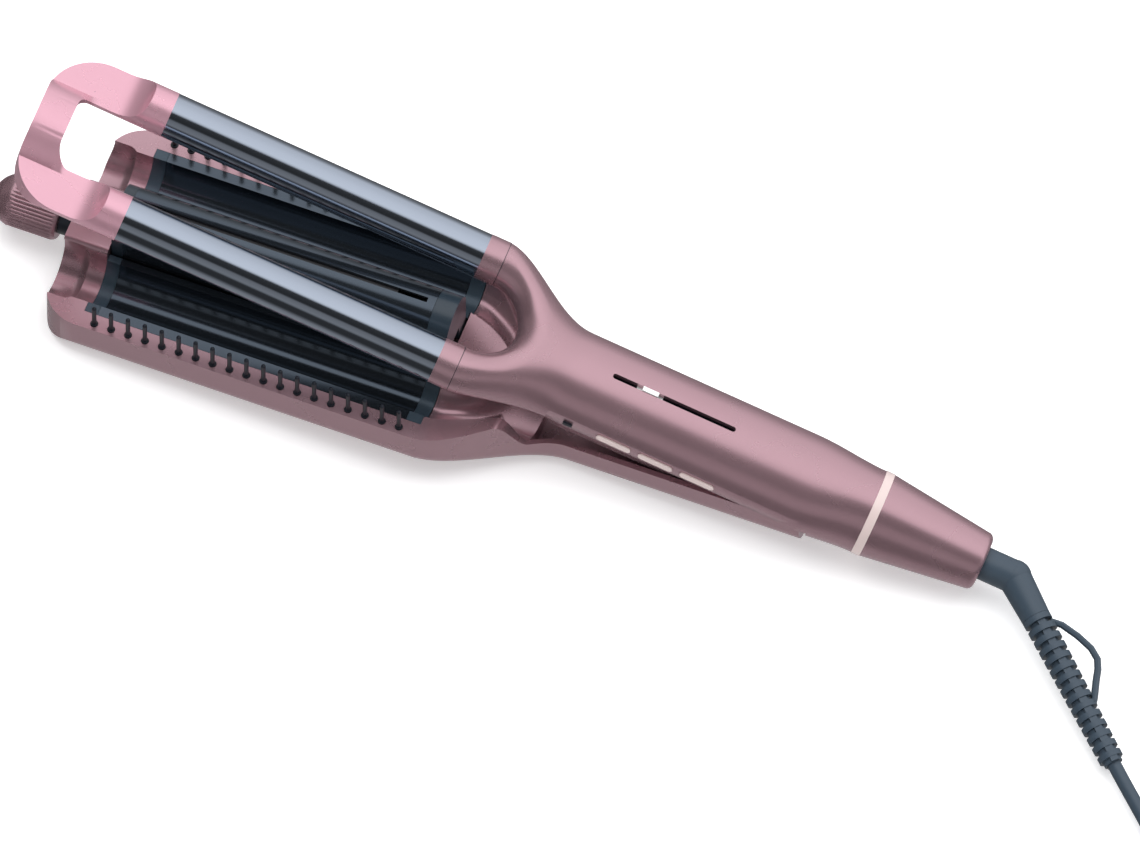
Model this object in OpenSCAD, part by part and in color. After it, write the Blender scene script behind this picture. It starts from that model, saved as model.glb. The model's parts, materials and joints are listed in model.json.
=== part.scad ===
// Hair waver with two hot barrels, a troughed lower jaw and a barrel of adjustable height.
// Both arms are drawn level, with z = 0 in the plane of the barrel axes and of the jaw rims,
// x = 0 over the hinge, the tip towards -x and the cord towards +x. Then each is tilted.

/* [Arms] */
// Angle between the open arms
open_angle = 12; // [9:1:14]
// Hinge axis below the plane of the barrels
hinge_drop = 22.5; // [21:0.5:24]
// Handle axis below the plane of the barrels
handle_drop = 13.5; // [12:0.5:15]
// Hinge to the near end of the hot barrels
barrel_start = 126; // [122:1:132]
// Length of the hot barrels
barrel_len = 120; // [100:5:140]
// Distance between the barrel axes
barrel_pitch = 44.8; // [43:0.2:47]
// Barrel diameter
barrel_d = 16.4; // [15:0.2:17]
// Wall of the hot barrels
barrel_wall = 1.2; // [0.8:0.1:2]

/* [Tip bridge] */
// Round collar between a barrel and its finger pad
tip_collar = 8; // [6:0.5:10]
// Finger pad with its strip, from collar to tip
pad_len = 35; // [32:1:38]
// Width of the cross strip along the arm
strip_w = 12; // [9:0.5:14]
// Rise of the cross strip over the pads
strip_rise = 9; // [8.5:0.5:10]
// Thickness of the cross strip
strip_t = 2.6; // [2:0.2:3.4]
// Corner radius of the bridge seen from above
bridge_corner = 19; // [16:0.5:20]

/* [Handle] */
// Half width of the handle
handle_w = 17.9; // [17:0.1:18.6]
// Height of the handle above its axis
handle_top = 14.6; // [14:0.1:15.2]
// Wall of the handle shell
shell_t = 2; // [1.6:0.2:2.4]
// Hinge to the pale ring
ring_x = 34; // [32:1:38]
// Width of the pale ring
ring_w = 3.2; // [2.5:0.1:4]
// Radius of the handle at the ring
ring_r = 15.5; // [15:0.1:16]
// Hinge to the end of the tail
tail_end = 78; // [74:1:82]
// Radius of the tail at its end
tail_r = 10.4; // [9.8:0.1:11]
// Depth of the crotch behind the barrel collars
crotch_len = 14.5; // [12:0.5:17]

/* [Lower jaw] */
// Half width of the jaw
jaw_w = 41.5; // [40:0.5:43]
// Depth of the jaw below its rim
jaw_depth = 20; // [19:0.5:22]
// Corner radius under the jaw
jaw_corner = 9; // [7:0.5:10]
// Wall of the jaw
jaw_wall = 2; // [1.6:0.2:2.4]
// Inner radius of the troughs
trough_r = 9; // [8.8:0.1:9.4]
// Sheet of the troughs
trough_t = 1; // [0.6:0.1:1.2]
// Length of the tip cap
cap_len = 16.4; // [14:0.4:18]
// Half width of the lever under the handle
lever_w = 15.9; // [15.5:0.1:16]
// Depth of the lever below the rim plane
lever_depth = 34; // [33:0.5:36]
// Rim of the lever below the rim plane
lever_rim = 17; // [16.6:0.2:18]
// Corner radius under the lever
lever_corner = 10; // [9:0.5:11]
// Hinge to the rear end of the lever
lever_end = 15; // [13:0.5:17]

/* [Combs] */
// Pegs on each side
peg_count = 19; // [15:1:21]
// Height of a peg above the rim
peg_h = 11; // [8:0.5:12]
// Peg diameter
peg_d = 1.6; // [1.4:0.1:2]
// Peg row from the centre line
peg_y = 38.8; // [38.4:0.1:39.2]

/* [Depth setting] */
// Radius of the centre barrel
hood_r = 10; // [9.6:0.1:10.4]
// Centre barrel's axis above the rim, raised
hood_z = 13.5; // [13:0.5:15]
// Sheet of the centre barrel
hood_t = 1.2; // [0.8:0.1:1.4]
// Height that half a turn of the knob lowers it
depth_travel = 5.4; // [4:0.2:5.6]
// Smallest radius of the cams
cam_low = 2.8; // [2.6:0.1:3]
// Knob axis above the rim
knob_z = -4; // [-4.5:0.5:-3.5]
// Knob radius over its ribs
knob_r = 9.8; // [9:0.2:10]
// Knob length
knob_len = 26; // [22:1:30]
// Ribs round the knob
knob_ribs = 28; // [20:2:32]

/* [Controls] */
// Slider slot, from its front end to the hinge
slot_front = 67.5; // [64:0.5:70]
// Length of the slider slot
slot_len = 47; // [40:1:50]
// Width of the slider slot
slot_w = 2; // [1.6:0.1:2.6]
// Front of the slot to the middle of the slider
slider_at = 14.4; // [10:0.2:30]
// Length of the slider's tab
slider_len = 6; // [5:0.5:8]

/* [Cord] */
// Bend of the swivel from the tail's axis
elbow_bend = 42; // [30:1:45]
// Cord diameter
cord_d = 5; // [4.4:0.2:6]
// Thickness of the hanging loop
loop_d = 2.6; // [2:0.2:3]
// Bend of the elbow to the end of its smooth limb
limb_len = 17; // [14:0.5:20]
// Ribs on the strain relief
relief_ribs = 15; // [12:1:17]
// Length of the strain relief
relief_len = 60; // [54:1:64]
// Dip of the cord's first stretch
cord_dip = 5.4; // [5:0.1:6]
// Bend of the elbow to the coil
lead_len = 146; // [140:1:160]
// Outer radius of the coil, at the cord's middle
coil_r = 41.4; // [40:0.2:46]
// Turns in each layer of the coil
coil_layer_turns = 4; // [4:1:4]
// Gap between the turns of the coil
coil_gap = 0.6; // [0.5:0.1:1]
// Strap of the tie
tie_t = 0.8; // [0.6:0.1:1.2]
// Where the tie lies round the coil
tie_angle = -45; // [-80:5:0]

/* [Plug] */
// Width of the plug
plug_w = 26; // [24:0.5:35.5]
// Thickness of the plug
plug_t = 13.7; // [13:0.1:14]
// Length of the plug without pins
plug_len = 35; // [32:1:40]
// Radius of a plug pin
plug_pin_r = 2; // [1.9:0.05:2.1]
// Distance between the pins
pin_pitch = 18.2; // [17.5:0.1:18.6]
// Length of the pins outside the plug
pin_len = 19; // [18:0.5:19.5]

/* [Fits] */
// Radial play of pins and shafts
shaft_play = 0.06; // [0.03:0.01:0.09]
// Play between parts that slide
slide_play = 0.3; // [0.2:0.05:0.4]
// Gap between loose parts of one body
seat_gap = 0.1; // [0.05:0.05:0.2]

/* [Hidden] */
$fn = 48;

rose = "#b98a99";
rose_light = "#e7b3c6";
steel_blue = "#4a5666";
dark = "#23282f";
cream = "#e6d9d4";

barrel_r = barrel_d / 2;
barrel_y = barrel_pitch / 2;
barrel_front = -barrel_start - barrel_len;
collar_r = barrel_r + 0.1;
far_away = 200;
elbow_reach = 12;
cord_start = 8;
pin_seat = 9;
neck_gap = 5.4;
pin_r = 2;

// Lie of the whole object on a table: it rests on the jaw's tip and on the lever's belly
belly_x = -72;
belly_z = hinge_drop - lever_depth;
rest_pitch = atan2(lever_depth - jaw_depth, belly_x - barrel_front + cap_len);
lower_tilt = -rest_pitch;
upper_tilt = open_angle - rest_pitch;
hinge_z = -(belly_x * sin(rest_pitch) + belly_z * cos(rest_pitch));
knob_tip = barrel_front - cap_len - neck_gap - knob_len;
front_reach = knob_tip * cos(lower_tilt) + (hinge_drop + knob_z) * sin(lower_tilt);
rear_reach = tail_end * cos(upper_tilt) + (hinge_drop - handle_drop + tail_r - 3) * sin(upper_tilt);
hinge_x = -(front_reach + rear_reach) / 2;

// ---- helpers ----

function clamp01(t) = max(0, min(1, t));
function ease(a, b, x) = let (t = clamp01((x - a) / (b - a))) t * t * (3 - 2 * t);
function mix(a, b, t) = a + (b - a) * t;
// Height of a quarter round at distance t from its foot
function round_up(t) = let (u = 1 - clamp01(t)) sqrt(max(0, 1 - u * u));

module upper_arm() {
  translate([hinge_x, 0, hinge_z]) rotate([0, upper_tilt, 0]) translate([0, 0, hinge_drop]) children();
}

module lower_arm() {
  translate([hinge_x, 0, hinge_z]) rotate([0, lower_tilt, 0]) translate([0, 0, hinge_drop]) children();
}

// A drawing in (y, z) extruded from x0 to x1
module along_x(x0, x1) {
  translate([x0, 0, 0]) rotate([90, 0, 90]) linear_extrude(x1 - x0) children();
}

module rod_x(x0, x1, r) {
  translate([x0, 0, 0]) rotate([0, 90, 0]) cylinder(h = x1 - x0, r = r);
}

module rod_y(y0, y1, r) {
  translate([0, y0, 0]) rotate([-90, 0, 0]) cylinder(h = y1 - y0, r = r);
}

module both_sides() {
  children();
  mirror([0, 1, 0]) children();
}

// A closed skin through rings of equal length, with flat ends
module skin(rings) {
  n = len(rings[0]);
  m = len(rings);
  sides = [for (i = [0 : m - 2], j = [0 : n - 1], k = [0, 1])
    let (a = i * n + j, b = i * n + (j + 1) % n)
    k == 0 ? [a, b, b + n] : [a, b + n, a + n]];
  start = [[for (j = [n - 1 : -1 : 0]) j]];
  end = [[for (j = [0 : n - 1]) (m - 1) * n + j]];
  polyhedron(points = [for (r = rings) each r], faces = concat(sides, start, end), convexity = 8);
}

// ---- upper arm: the forked handle shell ----

fork_x = -barrel_start + 7.3;
crotch_x = fork_x + crotch_len;
shell_steps = 9;
fork_steps = 6;
lobe_points = 10;
shell_end = ring_x;
skirt_drop = handle_drop + 2.5;
// The underside starts far enough back to miss the lever's floor while the jaw is open
skirt_end = lever_end + 2.2;

function shell_w(x) = mix(mix(barrel_y + collar_r, handle_w, ease(fork_x - 2, fork_x + 38, x)),
  ring_r, ease(8, shell_end, x));
function shell_z(x) = -handle_drop * ease(fork_x, fork_x + 40, x);
function shell_up(x) = mix(mix(collar_r, handle_top, ease(fork_x, fork_x + 34, x)),
  ring_r, ease(8, shell_end, x));
function shell_down(x) = mix(mix(collar_r, 9, ease(fork_x, fork_x + 34, x)), ring_r, ease(6, 15, x));
function shell_round(x) = mix(collar_r, shell_w(x), ease(fork_x, fork_x + 32, x));
// Half width of the crotch, closing in a round end
function crotch_y(x) = (barrel_y - collar_r) * sqrt(max(0, 1 - pow((x - fork_x) / crotch_len, 2)));
// How far a point lies outside the crotch's outline
function crotch_gap(x, y) =
  (sqrt(pow((x - fork_x) / crotch_len, 2) + pow(y / (barrel_y - collar_r), 2)) - 1) * collar_r * 1.4;
function shell_height(x, y) = let (w = shell_w(x))
  round_up(crotch_gap(x, y) / collar_r) * round_up((w - y) / shell_round(x));
function lobe_y(x, j) = let (g = crotch_y(x), w = shell_w(x))
  g + (w - g) * (1 - cos(180 * j / lobe_points)) / 2;
function shell_point(x, j, side, up) = let (y = lobe_y(x, j), h = j == lobe_points ? 0 : shell_height(x, y))
  [x, y == 0 ? 0 : side * y, shell_z(x) + (up ? shell_up(x) * h : -shell_down(x) * h)];
// A lobe's ring runs over the top from the crotch to the outside and back underneath
function lobe_ring(x, side) = let (ring = concat(
  [for (j = [0 : lobe_points]) shell_point(x, j, side, true)],
  [for (j = [lobe_points - 1 : -1 : 1]) shell_point(x, j, side, false)]))
  side > 0 ? ring : [for (k = [len(ring) - 1 : -1 : 0]) ring[k]];
// The handle's ring runs over the top from one side to the other and back underneath
function handle_ring(x) = concat(
  [for (j = [lobe_points : -1 : 0]) shell_point(x, j, -1, true)],
  [for (j = [1 : lobe_points]) shell_point(x, j, 1, true)],
  [for (j = [lobe_points - 1 : -1 : 0]) shell_point(x, j, 1, false)],
  [for (j = [1 : lobe_points - 1]) shell_point(x, j, -1, false)]);

fork_xs = [for (i = [0 : fork_steps]) fork_x + crotch_len * sin(90 * i / fork_steps)];
handle_xs = concat([for (i = [0 : shell_steps]) crotch_x + (fork_x + 42 - crotch_x) * i / shell_steps],
  [-40, 6, 9, 12, 15, 21, 27, shell_end]);

function ring_sides(rings, base) = let (n = len(rings[0]))
  [for (i = [0 : len(rings) - 2], j = [0 : n - 1], k = [0, 1])
    let (a = base + i * n + j, b = base + i * n + (j + 1) % n)
    k == 0 ? [a, b, b + n] : [a, b + n, a + n]];

module forked_body() {
  near = [for (x = fork_xs) lobe_ring(x, -1)];
  far = [for (x = fork_xs) lobe_ring(x, 1)];
  grip = [for (x = handle_xs) handle_ring(x)];
  n = len(near[0]);
  g = len(grip[0]);
  far_base = n * len(near);
  grip_base = 2 * far_base;
  last = grip_base + g * (len(grip) - 1);
  caps = [[for (j = [n - 1 : -1 : 0]) j], [for (j = [n - 1 : -1 : 0]) far_base + j],
    [for (j = [0 : g - 1]) last + j]];
  polyhedron(
    points = concat([for (r = near) each r], [for (r = far) each r], [for (r = grip) each r]),
    faces = concat(ring_sides(near, 0), ring_sides(far, far_base), ring_sides(grip, grip_base), caps),
    convexity = 10);
}

cavity_r = handle_w - shell_t + 0.5;
cavity_z = -handle_drop + handle_top - shell_t - cavity_r;
cavity_front = fork_x + 36.5;

module upper_shell() {
  color(rose) upper_arm() difference() {
    forked_body();
    along_x(cavity_front, skirt_end) {
      translate([0, cavity_z]) circle(cavity_r);
      translate([-cavity_r, -far_away]) square([2 * cavity_r, far_away + cavity_z]);
      translate([-far_away / 2, -skirt_drop - far_away]) square([far_away, far_away]);
    }
    along_x(skirt_end - 1, shell_end + 1)
      translate([0, -handle_drop]) circle(ring_r - shell_t - 0.4);
    both_sides() translate([cavity_front - 1, handle_w - 0.7, -skirt_drop - 1])
      cube([-cavity_front + lever_end - 1, 5, 7.3]);
    slider_slot(far_away, 0);
  }
}

module slider_slot(h, grow) {
  x0 = -slot_front + slot_w / 2;
  w = slot_w / 2 + grow;
  translate([x0, -w, -6]) cube([slot_len - slot_w, 2 * w, h]);
  for (x = [x0, x0 + slot_len - slot_w])
    translate([x, 0, -6]) cylinder(h = h, r = w);
}

// Frame inside the handle that carries the board and the hinge
hub_w = 9.5;
core_w = lever_w - jaw_wall - 2.4;
core_bottom = -lever_depth + 2 + 3;
core_front = cavity_front + 6.5;
deck_w = handle_w - shell_t - 0.2;
core_top = -handle_drop - 2;
deck_t = 2;
hub_r = 5.5;
post_front = -9.5;
post_len = 15;
core_plug_r = ring_r - shell_t - 0.5;

module handle_core() {
  color(rose) upper_arm() difference() {
    union() {
      translate([core_front, -core_w, core_bottom])
        cube([post_front + 0.5 - core_front, 2 * core_w, core_top - core_bottom]);
      translate([core_front, -deck_w, core_top - 0.1]) cube([lever_end - core_front, 2 * deck_w, deck_t]);
      translate([0, 0, -hinge_drop]) rod_y(-hub_w, hub_w, hub_r);
      translate([post_front, -hub_w, -hinge_drop]) cube([post_len, 2 * hub_w, core_top + hinge_drop]);
      translate([skirt_end, 0, -handle_drop]) rod_x(0.5, 6, core_plug_r);
    }
    translate([0, 0, -hinge_drop]) rod_y(-20, 20, pin_r);
    translate([spring_x, 0, core_bottom - 1]) cylinder(h = spring_pocket + 1, r = spring_r + 1.6);
    translate([core_front + 3, -core_w + 2, core_bottom + 3])
      cube([-core_front - 31, 2 * core_w - 4, core_top - core_bottom - 5]);
    translate([lever_end - 4, 0, -handle_drop]) rod_x(0, 20, 8);
  }
}

module hinge_pin() {
  color("silver") upper_arm() translate([0, 0, -hinge_drop])
    rod_y(-lever_w + 2.4, lever_w - 2.4, pin_r - 0.02);
}

// ---- hot barrels of the upper arm ----

module hot_barrel(side) {
  color(steel_blue) upper_arm() translate([0, side * barrel_y, 0]) difference() {
    rod_x(barrel_front, -barrel_start, barrel_r);
    rod_x(barrel_front - 1, -barrel_start + 1, barrel_r - barrel_wall);
  }
}

module barrel_near() { hot_barrel(-1); }

module barrel_far() { hot_barrel(1); }

spigot_r = barrel_r - barrel_wall - seat_gap;

module barrel_heaters() {
  color("silver") upper_arm() for (side = [-1, 1])
    translate([barrel_front + 10, side * barrel_y - 5, -1.2]) cube([barrel_len - 20, 10, 2.4]);
}

module barrel_collars() {
  color(rose) upper_arm() for (side = [-1, 1]) translate([0, side * barrel_y, 0]) difference() {
    union() {
      rod_x(-barrel_start, fork_x, collar_r);
      rod_x(-barrel_start - 9.9, -barrel_start, spigot_r);
    }
    rod_x(-barrel_start - 11, fork_x - 3, spigot_r - 2);
  }
}

// ---- bridge between the barrels' tips ----

bridge_back = barrel_front;
pad_back = bridge_back - tip_collar;
bridge_tip = pad_back - pad_len;
bridge_w = barrel_y + collar_r;
window_w = barrel_y - collar_r;
window_corner = 6.5;
// The pad rises to its collar in a hollow curve
scoop_r = 11;
scoop_run = sqrt(scoop_r * scoop_r - (scoop_r - collar_r) * (scoop_r - collar_r));

module bridge_outline() {
  inner_x = bridge_tip + bridge_corner;
  translate([inner_x, -bridge_w]) square([bridge_back - inner_x, 2 * bridge_w]);
  translate([bridge_tip, -bridge_w + bridge_corner])
    square([bridge_corner + 1, 2 * (bridge_w - bridge_corner)]);
  for (side = [-1, 1]) translate([inner_x, side * (bridge_w - bridge_corner)]) circle(bridge_corner);
}

module window_outline() {
  x0 = bridge_tip + strip_w;
  translate([x0 + window_corner, -window_w]) square([pad_len + tip_collar, 2 * window_w]);
  translate([x0, -window_w + window_corner]) square([window_corner + 1, 2 * (window_w - window_corner)]);
  for (side = [-1, 1])
    translate([x0 + window_corner, side * (window_w - window_corner)]) circle(window_corner);
}

module tip_bridge() {
  arch_y = window_w + 2.3;
  arch_r = (arch_y * arch_y + strip_rise * strip_rise) / (2 * strip_rise);
  color(rose_light) upper_arm() difference() {
    union() {
      intersection() {
        translate([0, 0, -20]) linear_extrude(40) bridge_outline();
        union() {
          both_sides() translate([0, barrel_y, 0]) difference() {
            rod_x(bridge_tip, bridge_back, collar_r);
            translate([bridge_tip - 1, -20, 0]) cube([pad_back - scoop_run - bridge_tip + 1, 40, 20]);
            translate([pad_back - scoop_run, 0, scoop_r]) rod_y(-20, 20, scoop_r);
          }
          intersection() {
            translate([0, 0, strip_rise - arch_r]) difference() {
              rod_x(bridge_tip, bridge_tip + strip_w + window_corner, arch_r);
              rod_x(bridge_tip - 1, bridge_tip + strip_w + window_corner + 1, arch_r - strip_t);
            }
            translate([bridge_tip - 1, -arch_y - 1.4, -4]) cube([60, 2 * arch_y + 2.8, 30]);
          }
        }
      }
      both_sides() translate([0, barrel_y, 0]) rod_x(bridge_back - 1, bridge_back + 6, spigot_r);
    }
    translate([0, 0, -30]) linear_extrude(60) window_outline();
  }
}

// ---- controls on the handle ----

plate_z = -3.8;
slider_x = -slot_front + slider_at;

module slider_plate() {
  color(dark) upper_arm() translate([-slot_front - 3, -4, plate_z]) cube([slot_len + 6, 8, 1]);
}

module temperature_slider() {
  color("white") upper_arm() {
    translate([slider_x - slider_len / 2, -slot_w / 2 + 0.15, plate_z + 2]) {
      cube([slider_len, slot_w - 0.3, handle_top - handle_drop - plate_z - 1.5]);
    }
    translate([slider_x - slider_len / 2 - 2, -2.5, plate_z + 1.1]) cube([slider_len + 4, 5, 1.1]);
  }
}

module control_board() {
  deck_top = core_top + deck_t - 0.1;
  board_z = deck_top + 1.6;
  color("seagreen") upper_arm() {
    translate([core_front + 4, -11, board_z]) cube([70, 22, 1.6]);
    for (x = [10, 24, 52]) translate([core_front + x, -7, board_z + 1.6]) cube([7, 5, 3]);
    translate([core_front + 40, 5, board_z + 1.6]) cylinder(h = 3.6, r = 3);
    for (x = [8, 66], y = [-8, 8])
      translate([core_front + x, y, deck_top + seat_gap]) cylinder(h = 1.6, r = 1.5);
  }
}

strip_len = 13;
strip_pitch = 16;

// Three pale inlays under the edge of the handle shell
module side_strips() {
  color(cream) upper_arm() both_sides() for (i = [0 : 2])
    translate([-64 + strip_len / 2 + i * strip_pitch, handle_w - 0.7, -handle_drop + 0.6]) {
      translate([-strip_len / 2 + 1.5, 0, -1.5]) cube([strip_len - 3, 0.5, 3]);
      for (x = [-1, 1]) translate([x * (strip_len / 2 - 1.5), 0, 0]) rod_y(0, 0.5, 1.5);
    }
}

module trim_ring() {
  color(cream) upper_arm() translate([0, 0, -handle_drop]) difference() {
    rod_x(ring_x, ring_x + ring_w, ring_r + 0.2);
    rod_x(ring_x - 1, ring_x + ring_w + 1, ring_r - shell_t - 0.4);
  }
}

tail_front = ring_x + ring_w;
neck_r = 6;
tail_round = 2.5;

module tail_cone() {
  color(rose) upper_arm() translate([0, 0, -handle_drop]) rotate([0, 90, 0]) rotate_extrude() difference() {
    union() {
      polygon([[0, tail_front], [ring_r, tail_front], [tail_r + 0.3, tail_end - tail_round],
        [0, tail_end - tail_round]]);
      translate([0, tail_end - tail_round]) square([tail_r - tail_round + 0.3, tail_round]);
      translate([tail_r - tail_round + 0.3, tail_end - tail_round]) circle(tail_round);
      translate([0, tail_front - 6]) square([core_plug_r, 7]);
    }
    polygon([[-1, tail_front - 7], [core_plug_r - 1.9, tail_front - 7], [core_plug_r - 1.9, tail_front],
      [tail_r - 2, tail_end - 6], [-1, tail_end - 6]]);
    translate([-1, tail_end - 8]) square([neck_r + 0.5 + 1, 20]);
    translate([-20, 0]) square([20, tail_end + 10]);
  }
}

seat_front = tail_end - 12;

module swivel_seat() {
  color(dark) upper_arm() translate([0, 0, -handle_drop]) difference() {
    rod_x(seat_front, tail_end - 6 - seat_gap, tail_r - 2 - 0.1);
    rod_x(seat_front - 1, tail_end, neck_r + shaft_play);
  }
}

// ---- lower arm: neck and lever ----

neck_x0 = -barrel_start + 6.4;
neck_x1 = belly_x;
neck_points = 7;

function neck_w(x) = mix(jaw_w, lever_w, ease(neck_x0 - 2, neck_x1, x));
function neck_depth(x) = mix(jaw_depth, lever_depth, ease(neck_x0 - 2, neck_x1, x));
function neck_corner(x) = mix(jaw_corner, lever_corner, ease(neck_x0, neck_x1, x));
// Behind the hinge the rim falls, so that it stays clear of the handle while the jaw is open
function neck_rim(x) = -lever_rim * ease(fork_x + 23, fork_x + 31, x) - max(0, x + 2) * tan(open_angle);
function neck_wall(x) = mix(9.3, jaw_wall, ease(neck_x0, neck_x0 + 26, x));

// One side of the tray's outline, from the rim down to the middle of the floor
function tray_side(w, rim, depth, r) = concat([[w, rim]],
  [for (a = [0 : 15 : 90]) [w - r + r * cos(a), -depth + r - r * sin(a)]], [[0, -depth]]);
function tray_ring(x) = let (
  w = neck_w(x), rim = neck_rim(x), d = neck_depth(x), r = neck_corner(x), t = neck_wall(x),
  outer = tray_side(w, rim, d, r),
  inner = tray_side(w - t, rim, d - jaw_wall, max(1, r - jaw_wall)))
  concat(
    [for (p = outer) [x, p[0], p[1]]],
    [for (i = [len(outer) - 2 : -1 : 0]) [x, -outer[i][0], outer[i][1]]],
    [for (p = inner) [x, -p[0], p[1]]],
    [for (i = [len(inner) - 2 : -1 : 0]) [x, inner[i][0], inner[i][1]]]);

neck_xs = concat([for (i = [0 : 16]) neck_x0 + (neck_x1 - neck_x0) * i / 16], [-2, lever_end]);

module lower_shell() {
  color(rose) lower_arm() skin([for (x = neck_xs) tray_ring(x)]);
}

ear_in = hub_w + slide_play;
ear_t = 1.2;
boss_out = lever_w - jaw_wall - 0.5;
bracket_pad = lever_w - lever_corner;
bracket_z = -lever_depth + jaw_wall + seat_gap;

module hinge_bracket() {
  color("silver") lower_arm() difference() {
    union() {
      translate([-7, -bracket_pad, bracket_z]) cube([14, 2 * bracket_pad, 2]);
      translate([-7, -ear_in - ear_t, bracket_z + 1.9]) cube([14, 2 * (ear_in + ear_t), 1.1]);
      both_sides() {
        translate([-5, ear_in, bracket_z + 1.9]) cube([10, ear_t, -hinge_drop - bracket_z - 1.9]);
        translate([0, 0, -hinge_drop]) rod_y(ear_in, ear_in + ear_t, 5);
        translate([0, 0, -hinge_drop]) rod_y(ear_in, boss_out, pin_r + 1.4);
      }
    }
    translate([0, 0, -hinge_drop]) rod_y(-20, 20, pin_r + shaft_play);
  }
}

// ---- lower arm: the jaw ----

jaw_back = neck_x0;
jaw_front = barrel_front;
flange_w = barrel_y + trough_r + 3.7;
ledge_t = 2.2;

module rounded_tray(w, depth, r) {
  translate([-w, -depth + r]) square([2 * w, depth - r]);
  translate([-w + r, -depth]) square([2 * (w - r), r + 1]);
  for (side = [-1, 1]) translate([side * (w - r), -depth + r]) circle(r);
}

function peg_x(i) = jaw_front + 5.2 + i * (jaw_back - jaw_front - 12) / (peg_count - 1);

module jaw_tray() {
  color(rose) lower_arm() difference() {
    along_x(jaw_front, jaw_back) difference() {
      rounded_tray(jaw_w, jaw_depth, jaw_corner);
      translate([0, -ledge_t])
        rounded_tray(jaw_w - jaw_wall, jaw_depth - jaw_wall - ledge_t, jaw_corner - jaw_wall);
      translate([-flange_w - seat_gap, -ledge_t - 1]) square([2 * (flange_w + seat_gap), 10]);
    }
    both_sides() for (i = [0 : peg_count - 1])
      translate([peg_x(i), peg_y, -ledge_t - 1]) cylinder(h = 5, r = peg_d / 2 + 0.65);
    screw_places() translate([0, 0, -jaw_depth - 1]) cylinder(h = 5, r = screw_r + seat_gap);
  }
}

module comb() {
  color(dark) lower_arm() {
    translate([jaw_front + 2, peg_y - 1.6, -ledge_t - 1.3]) cube([jaw_back - jaw_front - 5, 2.1, 1.2]);
    for (i = [0 : peg_count - 1]) translate([peg_x(i), peg_y, -ledge_t - 0.6]) {
      cylinder(h = peg_h + ledge_t, r = peg_d / 2);
      cylinder(h = ledge_t + 1.1, r = peg_d / 2 + 0.5);
      translate([0, 0, peg_h + ledge_t]) sphere(peg_d / 2);
    }
  }
}

module comb_near() { mirror([0, 1, 0]) comb(); }

module comb_far() { comb(); }

end_front = 5;
end_back = 5.6;

// Section of one trough: a half pipe with a flat flange on each side
module trough_section(t) {
  difference() {
    union() {
      translate([barrel_y, 0]) circle(trough_r + t);
      translate([hood_r + 0.8, -t]) square([flange_w - hood_r - 0.8, t]);
    }
    translate([barrel_y, 0]) circle(trough_r);
    translate([0, 0]) square([far_away, far_away]);
  }
}

module trough() {
  color(steel_blue) lower_arm() along_x(jaw_front + end_front, jaw_back - end_back) trough_section(trough_t);
}

module trough_far() { trough(); }

module trough_near() { mirror([0, 1, 0]) trough(); }

module trough_ends() {
  color("#7d8793") lower_arm() both_sides() {
    along_x(jaw_front + seat_gap, jaw_front + end_front - seat_gap) trough_section(trough_t + 0.6);
    along_x(jaw_back - end_back + seat_gap, jaw_back - seat_gap) trough_section(trough_t + 0.6);
  }
}

module trough_heaters() {
  color("silver") lower_arm() both_sides()
    translate([jaw_front + 14, barrel_y - 5, -trough_r - trough_t - 2.2]) cube([barrel_len - 24, 10, 1.9]);
}

// Pink cap that closes the jaw's tip, with seats for the round undersides of the finger pads
block_top = 5;
block_w = barrel_y - trough_r;
cap_front = jaw_front - cap_len;
cap_corner = 15;

module cap_plan() {
  translate([cap_front + cap_corner, -jaw_w]) square([cap_len - cap_corner, 2 * jaw_w]);
  translate([cap_front, -jaw_w + cap_corner]) square([cap_corner + 1, 2 * (jaw_w - cap_corner)]);
  for (side = [-1, 1]) translate([cap_front + cap_corner, side * (jaw_w - cap_corner)]) circle(cap_corner);
}

module tip_cap() {
  color(rose) lower_arm() difference() {
    union() {
      intersection() {
        along_x(cap_front, jaw_front) rounded_tray(jaw_w, jaw_depth, jaw_corner);
        translate([0, 0, -jaw_depth - 1]) linear_extrude(jaw_depth + 2) cap_plan();
      }
      along_x(cap_front, jaw_front) {
        translate([-block_w + 2.5, -2]) square([2 * block_w - 5, block_top + 2]);
        translate([-block_w, -2]) square([2 * block_w, block_top - 0.5]);
        for (side = [-1, 1]) translate([side * (block_w - 2.5), block_top - 2.5]) circle(2.5);
      }
    }
    both_sides() translate([0, barrel_y, 0]) {
      rod_x(cap_front - 1, jaw_front + 1, trough_r);
      rod_x(cap_front - 1, jaw_front - 3, trough_r + 0.7);
    }
    translate([0, 0, knob_z]) rod_x(cap_front - 1, jaw_front + 1, bush_r + seat_gap / 2);
  }
}

// ---- depth setting: knob, cam shaft and centre barrel ----

shaft_r = 2;
bush_r = 3.4;
knob_back = cap_front - neck_gap;

module knob_bush() {
  color(dark) lower_arm() translate([0, 0, knob_z]) difference() {
    union() {
      rod_x(cap_front, jaw_front - 0.5, bush_r);
      rod_x(knob_back + slide_play, cap_front - seat_gap, 6.5);
    }
    rod_x(knob_back - 1, jaw_front + 1, shaft_r + shaft_play);
  }
}

module depth_knob() {
  dome_r = knob_r - 0.6;
  color(rose) lower_arm() translate([0, 0, knob_z]) difference() {
    union() {
      rod_x(knob_tip + dome_r, knob_back, dome_r);
      translate([knob_tip + dome_r, 0, 0]) sphere(dome_r);
      for (i = [0 : knob_ribs - 1]) rotate([360 * i / knob_ribs, 0, 0])
        translate([0, 0, dome_r - 0.1]) rod_x(knob_tip + dome_r - 2, knob_back - 1.6, 0.7);
    }
    rod_x(knob_back - 12, knob_back + 1, shaft_r + seat_gap / 3);
  }
}

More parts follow.
